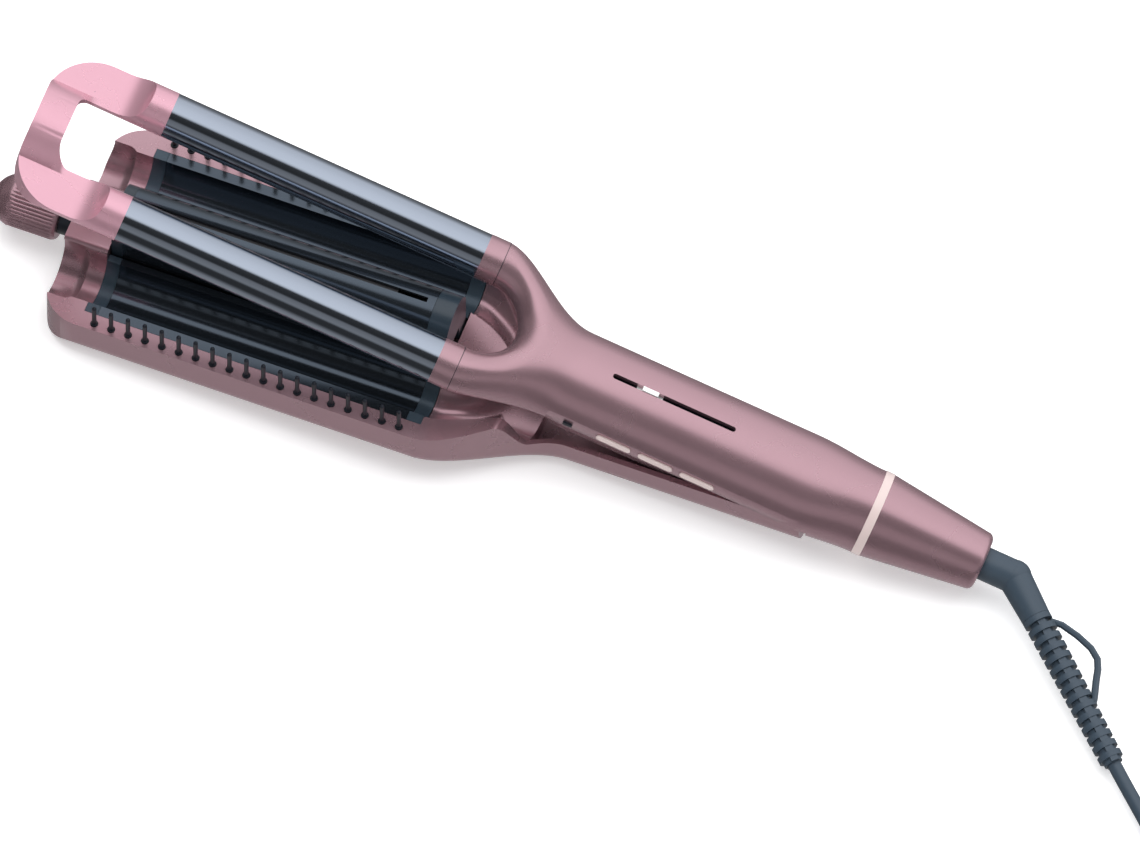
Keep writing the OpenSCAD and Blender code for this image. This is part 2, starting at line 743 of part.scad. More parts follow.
cam_high = cam_low + depth_travel;
cam_w = 5;
cam_dwell = 12;
cam_places = [jaw_front + 22, jaw_back - 24];
carrier_bottom = hood_z + 3.5;
foot_z = knob_z + cam_high + slide_play + 0.1;

// Spiral cam: its radius falls evenly over half a turn, so that the barrel sinks evenly
module cam_outline() {
  polygon(concat(
    [for (a = [-cam_dwell : 6 : 180])
      let (r = cam_high - depth_travel * max(0, a) / 180) [r * sin(a), r * cos(a)]],
    [for (a = [190 : 10 : 340]) [cam_low * sin(a), cam_low * cos(a)]]));
}

module cam_shaft() {
  color("silver") lower_arm() translate([0, 0, knob_z]) {
    rod_x(knob_back - 12, jaw_back - 2.5, shaft_r);
    for (x = cam_places) along_x(x - cam_w / 2, x + cam_w / 2) cam_outline();
  }
}

pedestal_w = 3;
pedestal_top = knob_z + shaft_r + 1.4;
floor_z = -jaw_depth + jaw_wall;
tip_end_x = jaw_front + 0.4;
back_end_x = jaw_back - 8;
hood_foot = -3;

// Two posts on the jaw's floor that carry the shaft and guide the centre barrel's ends
module cam_bearings() {
  color(dark) lower_arm() difference() {
    union() for (x = [tip_end_x + 0.6, back_end_x + 2]) {
      translate([x, -pedestal_w, floor_z]) cube([3, 2 * pedestal_w, pedestal_top - floor_z]);
      translate([x - 0.5, -9, floor_z]) cube([4, 18, 2]);
    }
    translate([0, 0, knob_z]) rod_x(jaw_front - 1, jaw_back + 1, shaft_r + shaft_play);
  }
}

module hood_profile(r) {
  translate([0, hood_z]) circle(r);
  translate([-r, hood_foot]) square([2 * r, hood_z - hood_foot]);
}

module centre_hood() {
  x0 = tip_end_x + 4.2;
  x1 = back_end_x - seat_gap;
  color(steel_blue) lower_arm() difference() {
    along_x(x0, x1) difference() {
      hood_profile(hood_r);
      hood_profile(hood_r - hood_t);
      translate([-far_away / 2, hood_foot - 2]) square([far_away, 2.2]);
    }
    translate([x0 + 3, -1, hood_z]) cube([x1 - x0 - 6, 2, 20]);
  }
}

module hood_ends() {
  slot = pedestal_w + slide_play;
  color(dark) lower_arm() for (span = [[tip_end_x, 4.1], [back_end_x, 7.6]])
    along_x(span[0], span[0] + span[1]) difference() {
      hood_profile(hood_r - 0.1);
      translate([-slot, hood_foot - 1]) square([2 * slot, pedestal_top + depth_travel - hood_foot + 1.4]);
    }
}

module hood_carrier() {
  x0 = tip_end_x + 4.1 + seat_gap;
  x1 = back_end_x - seat_gap;
  color("silver") lower_arm() {
    translate([x0, -4, carrier_bottom]) cube([x1 - x0, 8, 2.4]);
    for (x = cam_places) translate([x - 1.5, -0.6, foot_z]) cube([3, 1.2, carrier_bottom - foot_z + 1]);
  }
}

module hood_heater() {
  color("dimgray") lower_arm() translate([jaw_front + 16, -3.2, carrier_bottom + 2.4])
    cube([barrel_len - 32, 6.4, 1.6]);
}

screw_r = 1.6;

module screw_places() {
  for (x = [jaw_front + 12, jaw_back - 12], y = [-28, 28]) translate([x, y, 0]) children();
}

module base_screws() {
  color("silver") lower_arm() screw_places() translate([0, 0, -jaw_depth + 0.3]) difference() {
    cylinder(h = 2.6, r = screw_r);
    for (a = [0, 90]) rotate([0, 0, a]) translate([-1.1, -0.2, -1]) cube([2.2, 0.4, 1.6]);
  }
}

// ---- spring between the lever and the handle ----

spring_x = -50;
spring_r = 4.2;
spring_wire = 1;
spring_turns = 6;
spring_pocket = 7;
spring_steps = 16;
spring_foot = -lever_depth + jaw_wall + spring_wire / 2 + 0.3;

function spring_lift() = (tan(open_angle) * -spring_x) + core_bottom + spring_pocket - spring_foot - 2.2;
function spring_point(t) = let (a = 360 * t)
  [spring_x + spring_r * cos(a), spring_r * sin(a), spring_foot + spring_lift() * t / spring_turns];
function tube_ring(p, q, r, n) = let (
  d = (q - p) / norm(q - p),
  side = cross(d, [0, 0, 1]) / norm(cross(d, [0, 0, 1])),
  up = cross(side, d))
  [for (k = [0 : n - 1]) p + r * (cos(360 * k / n) * side + sin(360 * k / n) * up)];

module lever_spring() {
  n = spring_turns * spring_steps;
  echo("least gap between the spring's turns, mm", spring_lift() / spring_turns - spring_wire);
  color("silver") lower_arm() skin([for (i = [0 : n])
    tube_ring(spring_point(i / spring_steps), spring_point((i + 0.01) / spring_steps), spring_wire / 2, 6)]);
}

// ---- swivel, strain relief, cord and plug ----
// The swivel turns in the tail. Past its bend the cord's parts lie in world axes.

bend_x = hinge_x + (tail_end + elbow_reach) * cos(upper_tilt) + (hinge_drop - handle_drop) * sin(upper_tilt);
bend_z = hinge_z - (tail_end + elbow_reach) * sin(upper_tilt) + (hinge_drop - handle_drop) * cos(upper_tilt);
bend_at = [bend_x, 0, bend_z];
bend_dir = [cos(elbow_bend) * cos(cord_dip), -sin(elbow_bend) * cos(cord_dip), -sin(cord_dip)];
bend_side = [sin(elbow_bend), cos(elbow_bend), 0];
cord_r = cord_d / 2;
limb_r = cord_r + 2.7;
relief_x0 = limb_len + seat_gap;
relief_pitch = relief_len / relief_ribs;

module past_bend() {
  translate(bend_at) rotate([0, 0, -elbow_bend]) rotate([0, cord_dip, 0]) children();
}

module swivel_elbow() {
  color(steel_blue) difference() {
    union() {
      upper_arm() translate([0, 0, -handle_drop]) {
        rod_x(seat_front - 3, seat_front - slide_play, neck_r + 1.2);
        rod_x(seat_front - 1, tail_end + elbow_reach, neck_r);
      }
      past_bend() {
        sphere(neck_r + 0.2);
        rotate([0, 90, 0]) cylinder(h = limb_len, r1 = neck_r, r2 = limb_r);
      }
    }
    past_bend() rod_x(cord_start - 1, limb_len + 1, cord_r + seat_gap);
  }
}

// Points of the hanging loop: along the relief, then out to its far side
loop_route = [[20, 4], [23, 7.2], [29, 10.4], [35, 12.6], [39.5, 12.8], [43, 11.2], [47, 8.4], [52, 5.2],
  [54, 3.6]];

module strain_relief() {
  color(steel_blue) past_bend() difference() {
    union() {
      rod_x(relief_x0, relief_x0 + relief_len, cord_r + 0.9);
      for (i = [0 : relief_ribs - 1]) let (x = relief_x0 + i * relief_pitch)
        rod_x(x, x + relief_pitch * 0.55, mix(limb_r, cord_r + 1.9, i / relief_ribs));
      translate([relief_x0, -1.4, -cord_r - 1.7]) cube([relief_len, 2.8, cord_d + 3.4]);
      skin([for (i = [0 : len(loop_route) - 1])
        let (p = loop_route[max(0, i - 1)], q = loop_route[min(len(loop_route) - 1, i + 1)])
        tube_ring(concat(loop_route[i], [0]), concat(loop_route[i] + (q - p), [0]), loop_d / 2, 8)]);
    }
    rod_x(relief_x0 - 1, relief_x0 + relief_len + 1, cord_r + seat_gap);
  }
}

// The coil spirals in on the lower layer, climbs in half a turn and spirals out on the upper one
coil_pitch = cord_d + coil_gap;
coil_z = cord_r + tie_t + seat_gap;
coil_turns = 2 * coil_layer_turns + 0.5;
coil_mid = bend_at + lead_len * bend_dir + coil_r * bend_side;
coil_in = coil_r - coil_pitch * coil_layer_turns;
coil_start = -90 - elbow_bend;

// The climb bows inwards, clear of the turn beside it
function coil_radius(u) = let (t = clamp01((u - coil_layer_turns) / 0.5))
  coil_r - coil_pitch * min(coil_layer_turns, u, coil_turns - u) - 1.6 * sin(180 * t);
function coil_point(u) = let (a = coil_start + 360 * u, r = coil_radius(u))
  [coil_mid[0] + r * cos(a), coil_mid[1] + r * sin(a),
   coil_z + coil_pitch * clamp01((u - coil_layer_turns) / 0.5)];

lead_straight = relief_x0 + relief_len + 4;
straight_end_z = (bend_at + lead_straight * bend_dir)[2];
function lead_point(s) = let (p = bend_at + s * bend_dir)
  [p[0], p[1], s < lead_straight ? p[2]
     : mix(straight_end_z, coil_z, ease(lead_straight - 4, lead_len - 8, s))];

// From the coil the cord runs straight, turns in an arc to face +y and enters the plug
coil_out = coil_point(coil_turns);
out_heading = coil_start + 90 + 360 * coil_turns;
out_turn = elbow_bend - 90;
out_run = 16;
out_r = 40;
arc_from = coil_out + out_run * [cos(out_heading), sin(out_heading), 0];
function arc_point(t) = let (a = out_heading + out_turn * t)
  [arc_from[0] - out_r * (sin(a) - sin(out_heading)),
   arc_from[1] + out_r * (cos(a) - cos(out_heading)),
   mix(arc_from[2], plug_t / 2, ease(0, 1, t))];
plug_back = arc_point(1) + [0, 10, 0];
plug_face = plug_back + [0, plug_len, 0];
cord_tail = concat([for (t = [0 : 0.25 : 1]) arc_point(t)], [plug_back, plug_back + [0, 6, 0]]);

cord_points = concat(
  [for (s = [cord_start, cord_start + cord_d, 24, 36, 48, 60, 72, 84, 96, 108, lead_len - 16, lead_len - 5])
    lead_point(s)],
  [for (i = [0 : coil_turns * 24]) coil_point(i / 24)],
  cord_tail);
cord_len = len_of(cord_points);
function len_of(p) = step_sum([for (i = [1 : len(p) - 1]) norm(p[i] - p[i - 1])]);
function step_sum(v) = v * [for (x = v) 1];

module cord() {
  last = len(cord_points) - 1;
  own = [for (i = [0 : 4 : last - 30], j = [i + 18 : 1 : last]) norm(cord_points[i] - cord_points[j])];
  echo("cord length, mm", cord_len);
  echo("least gap of the cord to itself, mm", min(own) - cord_d);
  color(steel_blue) skin([for (i = [0 : last]) let (
    p = cord_points[max(0, i - 1)], q = cord_points[min(last, i + 1)])
    tube_ring(cord_points[i], cord_points[i] + (q - p), cord_r, 6)]);
}

module cord_tie() {
  r0 = coil_in - cord_r - 2.6;
  r1 = coil_r + cord_r + 0.4;
  h = coil_pitch + cord_d + 2 * seat_gap;
  color(dark) translate([coil_mid[0], coil_mid[1], 0]) rotate([0, 0, tie_angle]) difference() {
    translate([r0 - tie_t, -4, 0]) cube([r1 - r0 + 2 * tie_t, 8, h + 2 * tie_t]);
    translate([r0, -5, tie_t]) cube([r1 - r0, 10, h]);
  }
}

module plug_section(w, t) {
  for (side = [-1, 1]) translate([side * (w - t) / 2, 0, 0]) circle(t / 2, $fn = 32);
}

pin_shank_r = plug_pin_r - 0.4;

// The plug is drawn with its pins along -x and turned to face +y
module at_plug() {
  translate(plug_face) rotate([0, 0, -90]) children();
}

module plug() {
  color(steel_blue) at_plug() difference() {
    rotate([90, 0, 90]) hull() {
      linear_extrude(4) plug_section(plug_w, plug_t - 0.6);
      translate([0, 0, 8]) linear_extrude(6) plug_section(plug_w, plug_t);
      translate([0, 0, plug_len - 4]) linear_extrude(4) plug_section(13, 10);
    }
    for (side = [-1, 1]) translate([0, side * pin_pitch / 2, 0]) rod_x(-1, pin_seat, pin_shank_r + seat_gap);
    rod_x(plug_len - 9, plug_len + 1, cord_r + seat_gap);
  }
}

module plug_pins() {
  color("silver") at_plug() for (side = [-1, 1]) translate([0, side * pin_pitch / 2, 0]) {
    rod_x(-1, pin_seat - seat_gap, pin_shank_r);
    rod_x(-pin_len + 1, 0, plug_pin_r);
    translate([-pin_len + 1, 0, 0]) rotate([0, -90, 0])
      cylinder(h = 1, r1 = plug_pin_r, r2 = plug_pin_r - 1);
  }
}

upper_shell();
handle_core();
barrel_near();
barrel_far();
barrel_heaters();
tip_bridge();
barrel_collars();
slider_plate();
temperature_slider();
control_board();
side_strips();
trim_ring();
tail_cone();
swivel_seat();
hinge_pin();
lower_shell();
jaw_tray();
tip_cap();
trough_near();
trough_far();
trough_ends();
trough_heaters();
comb_near();
comb_far();
cam_bearings();
hinge_bracket();
base_screws();
lever_spring();
centre_hood();
hood_ends();
hood_carrier();
hood_heater();
depth_knob();
cam_shaft();
knob_bush();
swivel_elbow();
strain_relief();
cord();
cord_tie();
plug();
plug_pins();
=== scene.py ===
"""Studio scene of a hair waver that lies open on a pale floor, with its cord coiled outside the view."""

import json
import math

import bmesh
import bpy
from mathutils import Matrix, Vector


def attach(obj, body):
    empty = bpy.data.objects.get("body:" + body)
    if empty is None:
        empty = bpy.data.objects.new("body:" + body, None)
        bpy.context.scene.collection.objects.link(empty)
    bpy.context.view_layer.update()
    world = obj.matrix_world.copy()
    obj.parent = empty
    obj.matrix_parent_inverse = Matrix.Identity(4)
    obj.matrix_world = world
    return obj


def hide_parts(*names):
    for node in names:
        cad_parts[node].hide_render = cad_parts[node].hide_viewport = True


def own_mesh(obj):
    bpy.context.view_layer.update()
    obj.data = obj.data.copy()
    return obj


MM = 0.001

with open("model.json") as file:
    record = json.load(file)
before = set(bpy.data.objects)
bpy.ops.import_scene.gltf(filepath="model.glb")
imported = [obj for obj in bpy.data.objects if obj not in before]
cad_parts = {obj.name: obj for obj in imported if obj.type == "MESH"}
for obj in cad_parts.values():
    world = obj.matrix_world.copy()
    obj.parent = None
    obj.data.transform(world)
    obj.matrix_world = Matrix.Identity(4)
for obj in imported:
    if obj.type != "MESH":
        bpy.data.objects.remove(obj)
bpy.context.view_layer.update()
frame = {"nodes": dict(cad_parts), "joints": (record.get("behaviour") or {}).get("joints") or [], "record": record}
record = frame["record"]
nodes = frame["nodes"]
joints = {j["name"]: j for j in frame["joints"]}

# ---- frames of the two arms, from the record's joints ----

HINGE = Vector(joints["jaw_hinge"]["pos_m"])
HINGE_DROP = 22.5
UPPER_AXIS = Vector(joints["temperature_slide"]["axis"])
LOWER_AXIS = Vector(joints["depth_knob_turn"]["axis"])


def arm_matrix(axis):
    """Local millimetres of an arm, x towards the tail and z = 0 in the barrels' plane, to metres in the frame."""
    up = Vector((-axis.z, 0, axis.x))
    turn = Matrix((axis, (0, 1, 0), up)).transposed().to_4x4()
    scale = Matrix.Diagonal((MM, MM, MM, 1))
    return Matrix.Translation(HINGE) @ turn @ scale @ Matrix.Translation((0, 0, HINGE_DROP))


UPPER = arm_matrix(UPPER_AXIS)
LOWER = arm_matrix(LOWER_AXIS)


# ---- helpers ----

def clamp01(t):
    return max(0.0, min(1.0, t))


def ease(a, b, x):
    t = clamp01((x - a) / (b - a))
    return t * t * (3 - 2 * t)


def mix(a, b, t):
    return a + (b - a) * t


def mesh_object(name, verts, faces, matrix, smooth=40):
    mesh = bpy.data.meshes.new(name)
    mesh.from_pydata([matrix @ Vector(v) for v in verts], [], faces)
    shape = bmesh.new()
    shape.from_mesh(mesh)
    bmesh.ops.remove_doubles(shape, verts=shape.verts, dist=1e-6)
    bmesh.ops.recalc_face_normals(shape, faces=shape.faces)
    shape.to_mesh(mesh)
    shape.free()
    obj = bpy.data.objects.new(name, mesh)
    bpy.context.collection.objects.link(obj)
    mesh.set_sharp_from_angle(angle=math.radians(smooth))
    return obj


def ring_faces(count, size, base=0):
    return [(base + i * size + j, base + i * size + (j + 1) % size,
             base + (i + 1) * size + (j + 1) % size, base + (i + 1) * size + j)
            for i in range(count - 1) for j in range(size)]


def box_verts(x0, x1, y0, y1, z0, z1):
    verts = [(x, y, z) for x in (x0, x1) for y in (y0, y1) for z in (z0, z1)]
    faces = [(0, 1, 3, 2), (4, 6, 7, 5), (0, 4, 5, 1), (2, 3, 7, 6), (0, 2, 6, 4), (1, 5, 7, 3)]
    return verts, faces


def cut(obj, cutters):
    """Takes the cutters out of the object and removes them."""
    for cutter in cutters:
        mod = obj.modifiers.new("cut", "BOOLEAN")
        mod.object = cutter
        mod.solver = "EXACT"
    depsgraph = bpy.context.evaluated_depsgraph_get()
    mesh = bpy.data.meshes.new_from_object(obj.evaluated_get(depsgraph))
    obj.modifiers.clear()
    old = obj.data
    obj.data = mesh
    bpy.data.meshes.remove(old)
    mesh.set_sharp_from_angle(angle=math.radians(35))
    for cutter in cutters:
        bpy.data.objects.remove(cutter)


def prism(name, outline, x0, x1, matrix):
    """A (y, z) outline drawn along x."""
    n = len(outline)
    verts = [(x, y, z) for x in (x0, x1) for y, z in outline]
    faces = ring_faces(2, n) + [tuple(range(n)), tuple(range(n, 2 * n))]
    return mesh_object(name, verts, faces, matrix)


def arc(cy, cz, r, a0, a1, steps):
    return [(cy + r * math.cos(math.radians(mix(a0, a1, i / steps))),
             cz + r * math.sin(math.radians(mix(a0, a1, i / steps)))) for i in range(steps + 1)]


# ---- materials ----

def finish(name, base, metallic=0.0, rough=0.4, coat=0.0, variation=0.06, grain=900.0, bump=0.02,
           flakes=0.0, streak=None, specular=0.5):
    """A principled finish whose colour, roughness and relief vary in solid space."""
    mat = bpy.data.materials.new(name)
    mat.use_nodes = True
    tree = mat.node_tree
    shader = tree.nodes["Principled BSDF"]
    shader.inputs["Metallic"].default_value = metallic
    shader.inputs["Coat Weight"].default_value = coat
    shader.inputs["Coat Roughness"].default_value = 0.12
    shader.inputs["Specular IOR Level"].default_value = specular
    place = tree.nodes.new("ShaderNodeTexCoord")
    stretch = tree.nodes.new("ShaderNodeMapping")
    stretch.inputs["Scale"].default_value = streak or (1.0, 1.0, 1.0)
    tree.links.new(place.outputs["Object"], stretch.inputs["Vector"])
    cloud = tree.nodes.new("ShaderNodeTexNoise")
    cloud.inputs["Scale"].default_value = 35.0
    cloud.inputs["Detail"].default_value = 5.0
    tree.links.new(stretch.outputs["Vector"], cloud.inputs["Vector"])
    fine = tree.nodes.new("ShaderNodeTexNoise")
    fine.inputs["Scale"].default_value = grain
    fine.inputs["Detail"].default_value = 3.0
    tree.links.new(stretch.outputs["Vector"], fine.inputs["Vector"])
    tint = tree.nodes.new("ShaderNodeMix")
    tint.data_type = "RGBA"
    tint.inputs["A"].default_value = tuple(c * (1 - variation) for c in base) + (1.0,)
    tint.inputs["B"].default_value = tuple(min(1.0, c * (1 + variation)) for c in base) + (1.0,)
    tree.links.new(cloud.outputs["Fac"], tint.inputs["Factor"])
    colour = tint.outputs["Result"]
    if flakes:
        cells = tree.nodes.new("ShaderNodeTexVoronoi")
        cells.inputs["Scale"].default_value = 5200.0
        tree.links.new(place.outputs["Object"], cells.inputs["Vector"])
        sparkle = tree.nodes.new("ShaderNodeMix")
        sparkle.data_type = "RGBA"
        sparkle.blend_type = "OVERLAY"
        sparkle.inputs["Factor"].default_value = flakes
        tree.links.new(colour, sparkle.inputs["A"])
        grey = tree.nodes.new("ShaderNodeRGBToBW")
        tree.links.new(cells.outputs["Color"], grey.inputs["Color"])
        tree.links.new(grey.outputs["Val"], sparkle.inputs["B"])
        colour = sparkle.outputs["Result"]
    tree.links.new(colour, shader.inputs["Base Color"])
    polish = tree.nodes.new("ShaderNodeMapRange")
    polish.inputs["To Min"].default_value = max(0.02, rough - 0.05)
    polish.inputs["To Max"].default_value = rough + 0.05
    tree.links.new(cloud.outputs["Fac"], polish.inputs["Value"])
    tree.links.new(polish.outputs["Result"], shader.inputs["Roughness"])
    relief = tree.nodes.new("ShaderNodeBump")
    relief.inputs["Strength"].default_value = bump
    relief.inputs["Distance"].default_value = 0.0002
    tree.links.new(fine.outputs["Fac"], relief.inputs["Height"])
    tree.links.new(relief.outputs["Normal"], shader.inputs["Normal"])
    return mat


MATERIALS = {
    "rose_shell": finish("rose_shell", (0.49, 0.305, 0.345), metallic=0.75, rough=0.27, flakes=0.03, variation=0.03,
                         bump=0.02),
    # a lighter copy of rose_shell: painted highlight for the up-facing finger pads
    "rose_pad": finish("rose_pad", (0.70, 0.39, 0.47), metallic=0.55, rough=0.27, flakes=0.02, variation=0.03),
    "hot_coating": finish("hot_coating", (0.40, 0.45, 0.53), metallic=1.0, rough=0.12, variation=0.05,
                          streak=(0.2, 1.0, 1.0), bump=0.01),
    # a darker copy of hot_coating: painted shade for the troughs and the centre hood
    "coating_in_painted_shade": finish("coating_in_painted_shade", (0.085, 0.105, 0.13), metallic=0.9, rough=0.16, variation=0.06,
                           streak=(0.2, 1.0, 1.0), bump=0.01),
    "blue_grey": finish("blue_grey", (0.022, 0.034, 0.047), rough=0.3, coat=0.2),
    "trough_end_grey": finish("trough_end_grey", (0.05, 0.075, 0.10), metallic=0.3, rough=0.3),
    "dark_plastic": finish("dark_plastic", (0.012, 0.015, 0.022), rough=0.34, bump=0.08),
    "cream_plastic": finish("cream_plastic", (0.70, 0.57, 0.55), rough=0.3, coat=0.3),
    "white_plastic": finish("white_plastic", (0.88, 0.88, 0.88), rough=0.28, coat=0.2),
    "cord_rubber": finish("cord_rubber", (0.045, 0.066, 0.09), rough=0.42, bump=0.15, grain=2200.0),
    "steel": finish("steel", (0.62, 0.62, 0.63), metallic=1.0, rough=0.28, streak=(0.1, 1.0, 1.0)),
    "board_green": finish("board_green", (0.02, 0.14, 0.07), rough=0.4),
    "mica": finish("mica", (0.05, 0.05, 0.055), rough=0.6),
    "tie_black": finish("tie_black", (0.015, 0.015, 0.017), rough=0.5, bump=0.2),
}


def dress(obj, slot):
    obj.data.materials.clear()
    obj.data.materials.append(MATERIALS[slot])


# these nodes take the darker copy of the heating coating, which paints their shade into the colour
SHADE_COATED_NODES = ("trough_near", "trough_far", "centre_hood")


def dress_cad_nodes():
    for part in record["subparts"]:
        dress(nodes[part["node"]], "coating_in_painted_shade" if part["node"] in SHADE_COATED_NODES else part["material_slot"])


def stand_for(obj, node, body):
    """The piece rides on the body and takes the node's place and finish."""
    slot = next(p["material_slot"] for p in record["subparts"] if p["node"] == node)
    dress(obj, slot)
    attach(obj, body)
    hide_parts(node)


# ---- the forked handle shell, from the part's own formulas with closer rings ----

BARREL_START = 126.0
BARREL_LEN = 120.0
BARREL_Y = 22.4
COLLAR_R = 8.3
HANDLE_DROP = 13.5
HANDLE_W = 17.9
HANDLE_TOP = 14.6
SHELL_T = 2.0
RING_X = 34.0
RING_R = 15.5
CROTCH_LEN = 14.5
FORK_X = -BARREL_START + 7.3
CROTCH_X = FORK_X + CROTCH_LEN
LEVER_END = 15.0
SKIRT_END = LEVER_END + 2.2
SKIRT_DROP = HANDLE_DROP + 2.5
LOBE_POINTS = 40
SLOT_X = -67.5
SLOT_LEN = 47.0
SLOT_HALF = 1.0
CAVITY_FRONT = FORK_X + 36.5


def round_up(t):
    u = 1 - clamp01(t)
    return math.sqrt(max(0.0, 1 - u * u))


def shell_w(x):
    return mix(mix(BARREL_Y + COLLAR_R, HANDLE_W, ease(FORK_X - 2, FORK_X + 38, x)), RING_R, ease(8, RING_X, x))


def shell_z(x):
    return -HANDLE_DROP * ease(FORK_X, FORK_X + 40, x)


def shell_up(x):
    return mix(mix(COLLAR_R, HANDLE_TOP, ease(FORK_X, FORK_X + 34, x)), RING_R, ease(8, RING_X, x))


def shell_down(x):
    return mix(mix(COLLAR_R, 9, ease(FORK_X, FORK_X + 34, x)), RING_R, ease(6, 15, x))


def crotch_y(x):
    return (BARREL_Y - COLLAR_R) * math.sqrt(max(0.0, 1 - ((x - FORK_X) / CROTCH_LEN) ** 2))


def shell_height(x, y):
    gap = (math.hypot((x - FORK_X) / CROTCH_LEN, y / (BARREL_Y - COLLAR_R)) - 1) * 1.4
    across = mix(COLLAR_R, shell_w(x), ease(FORK_X, FORK_X + 32, x))
    return round_up(gap) * round_up((shell_w(x) - y) / across)


def shell_point(x, j, side, top):
    y = crotch_y(x) + (shell_w(x) - crotch_y(x)) * (1 - math.cos(math.pi * j / LOBE_POINTS)) / 2
    h = 0 if j == LOBE_POINTS else shell_height(x, y)
    return (x, side * y, shell_z(x) + (shell_up(x) * h if top else -shell_down(x) * h))


def lobe_ring(x, side):
    return ([shell_point(x, j, side, True) for j in range(LOBE_POINTS + 1)]
            + [shell_point(x, j, side, False) for j in range(LOBE_POINTS - 1, 0, -1)])


def handle_ring(x):
    return ([shell_point(x, j, -1, True) for j in range(LOBE_POINTS, -1, -1)]
            + [shell_point(x, j, 1, True) for j in range(1, LOBE_POINTS + 1)]
            + [shell_point(x, j, 1, False) for j in range(LOBE_POINTS - 1, -1, -1)]
            + [shell_point(x, j, -1, False) for j in range(1, LOBE_POINTS)])


def slot_outline():
    """Plan of the slider's slot: a straight run with two round ends."""
    return (arc(SLOT_X + SLOT_HALF, 0, SLOT_HALF, 90, 270, 12)
            + arc(SLOT_X + SLOT_LEN - SLOT_HALF, 0, SLOT_HALF, -90, 90, 12))


def build_upper_shell():
    fork_steps = 40
    fork_xs = [FORK_X + CROTCH_LEN * math.sin(math.pi / 2 * i / fork_steps) for i in range(fork_steps + 1)]
    handle_xs = ([mix(CROTCH_X, FORK_X + 42, i / 40) for i in range(41)] + [-60 + 10 * i for i in range(7)]
                 + [6 + i for i in range(11)] + [mix(17, RING_X, i / 10) for i in range(1, 11)])
    verts, faces = [], []
    for side in (-1, 1):
        base = len(verts)
        rings = [lobe_ring(x, side) for x in fork_xs]
        faces += ring_faces(len(rings), len(rings[0]), base) + [tuple(base + j for j in range(len(rings[0])))]
        verts += [p for ring in rings for p in ring]
    base = len(verts)
    rings = [handle_ring(x) for x in handle_xs]
    size = len(rings[0])
    faces += ring_faces(len(rings), size, base)
    faces += [tuple(base + (len(rings) - 1) * size + j for j in range(size))]
    verts += [p for ring in rings for p in ring]
    shell = mesh_object("handle_shell_smooth", verts, faces, UPPER)
    inner = HANDLE_W - SHELL_T + 0.5
    top = -HANDLE_DROP + HANDLE_TOP - SHELL_T - inner
    channel = arc(0, top, inner, 0, 180, 48) + [(-inner, -60), (inner, -60)]
    hollow = prism("hollow", channel, CAVITY_FRONT, SKIRT_END, UPPER)
    sky = prism("skirt", [(-60, -60), (60, -60), (60, -SKIRT_DROP), (-60, -SKIRT_DROP)], CAVITY_FRONT, SKIRT_END,
                UPPER)
    bore = prism("bore", arc(0, -HANDLE_DROP, RING_R - SHELL_T - 0.4, 0, 352.5, 47), SKIRT_END - 1, RING_X + 1,
                 UPPER)
    recesses = []
    for side in (-1, 1):
        y0, y1 = sorted((side * (HANDLE_W - 0.7), side * (HANDLE_W + 5)))
        verts, faces = box_verts(CAVITY_FRONT - 1, LEVER_END - 2, y0, y1, -SKIRT_DROP - 1, -SKIRT_DROP + 6.3)
        recesses.append(mesh_object("recess", verts, faces, UPPER))
    outline = slot_outline()
    n = len(outline)
    slot_verts = [(x, y, z) for z in (-6, 20) for x, y in outline]
    slot = mesh_object("slot", slot_verts, ring_faces(2, n) + [tuple(range(n)), tuple(range(n, 2 * n))], UPPER)
    cut(shell, [hollow, sky, bore, slot] + recesses)
    stand_for(shell, "upper_shell", "main_body")


# ---- the lower shell: neck and lever ----

JAW_W = 41.5
JAW_DEPTH = 20.0
JAW_CORNER = 9.0
JAW_WALL = 2.0
LEVER_W = 15.9
OPEN_ANGLE = 12.0
LEVER_DEPTH = 34.0
LEVER_RIM = 17.0
LEVER_CORNER = 10.0
NECK_X0 = -BARREL_START + 6.4
NECK_X1 = -72.0
NECK_GAP = 0.9
NECK_WALL = 9.3
RIM_FALL = (FORK_X + 23, FORK_X + 34)


def tray_side(w, rim, depth, r):
    steps = 18
    corner = [(w - r + r * math.cos(math.pi / 2 * i / steps), -depth + r - r * math.sin(math.pi / 2 * i / steps))
              for i in range(steps + 1)]
    return [(w, rim)] + corner + [(0.0, -depth)]


def neck_section(x):
    """Half width, depth, corner radius and wall of the lower shell at x."""
    along = ease(NECK_X0 - 2, NECK_X1, x)
    w = mix(JAW_W, LEVER_W, along)
    depth = mix(JAW_DEPTH, LEVER_DEPTH, along)
    corner = mix(JAW_CORNER, LEVER_CORNER, ease(NECK_X0, NECK_X1, x))
    wall = max(JAW_WALL, min(NECK_WALL, w - shell_w(x) - NECK_GAP))
    return w, depth, corner, wall


def tray_ring(x):
    w, depth, r, wall = neck_section(x)
    rim = -LEVER_RIM * ease(RIM_FALL[0], RIM_FALL[1], x) - max(0.0, x + 2) * math.tan(math.radians(OPEN_ANGLE))
    outer = tray_side(w, rim, depth, r)
    inner = tray_side(w - wall, rim, depth - JAW_WALL, max(1, r - JAW_WALL))
    return ([(x, y, z) for y, z in outer] + [(x, -y, z) for y, z in outer[-2::-1]]
            + [(x, -y, z) for y, z in inner] + [(x, y, z) for y, z in inner[-2::-1]])


